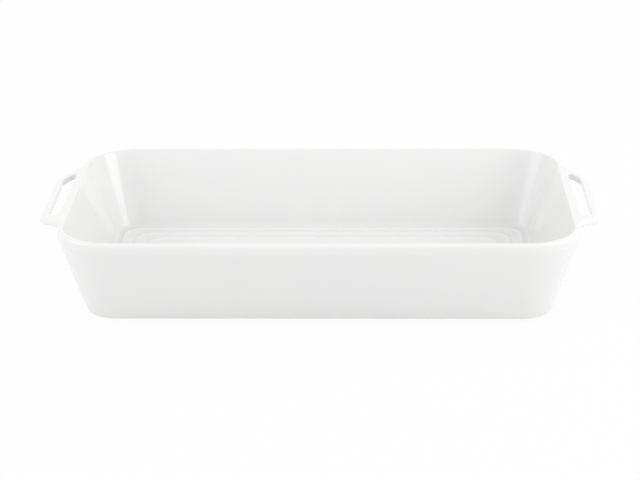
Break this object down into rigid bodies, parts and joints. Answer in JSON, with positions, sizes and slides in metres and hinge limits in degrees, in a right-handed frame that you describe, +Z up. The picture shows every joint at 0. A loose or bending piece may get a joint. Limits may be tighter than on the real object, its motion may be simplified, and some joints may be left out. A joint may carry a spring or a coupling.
{
  "type": "lasagna dish",
  "caption": "Rectangular white glazed baking dish with sloping walls, rounded corners, ribbed floor edge, slotted lug handles and a bare foot ring.",
  "frame": {"origin": "middle of the surface that the dish stands on, under its centre", "axes": "+X along the dish towards the right-hand handle, +Y across it towards the back, +Z up out of the dish"},
  "size_m": [0.39, 0.216, 0.062],
  "materials": {
    "white_glaze": "glossy white glaze",
    "bare_clay": "unglazed fired clay, ground flat"
  },
  "bodies": {
    "root": {"basin": "white_glaze", "left_handle": "white_glaze", "right_handle": "white_glaze", "foot_ring": "bare_clay"}
  },
  "joints": []
}
